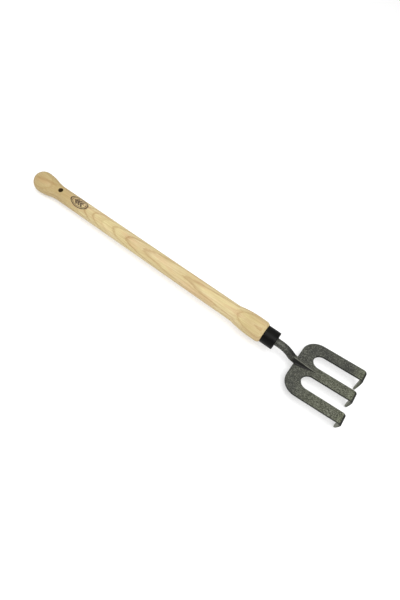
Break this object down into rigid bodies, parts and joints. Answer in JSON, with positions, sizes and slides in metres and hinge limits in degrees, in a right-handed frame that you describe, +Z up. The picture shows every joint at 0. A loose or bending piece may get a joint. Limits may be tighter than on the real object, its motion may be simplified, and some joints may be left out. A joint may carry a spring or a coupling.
{
  "type": "hand cultivator",
  "caption": "Hand cultivator: a turned wooden handle with a knob, a black ferrule and a swan-necked steel head with flat tines bent down into hooks.",
  "frame": {"origin": "on the surface that the tool lies on, under the middle of its box", "axes": "+X along the handle, from the knob towards the hooks; +Y across the tines; +Z up, with the tool lying on its hook tips and its knob"},
  "size_m": [0.6424, 0.1084, 0.0486],
  "materials": {
    "ash_wood": "turned and sanded pale ash, thin matt oil",
    "black_ferrule": "satin black lacquer",
    "dark_steel": "dark grey-green forge scale, tumbled to a satin",
    "weld_steel": "dark weld bead"
  },
  "bodies": {
    "root": {"handle": "ash_wood", "ferrule": "black_ferrule", "shank": "dark_steel", "tine_plate": "dark_steel", "lap_weld": "weld_steel"}
  },
  "joints": []
}
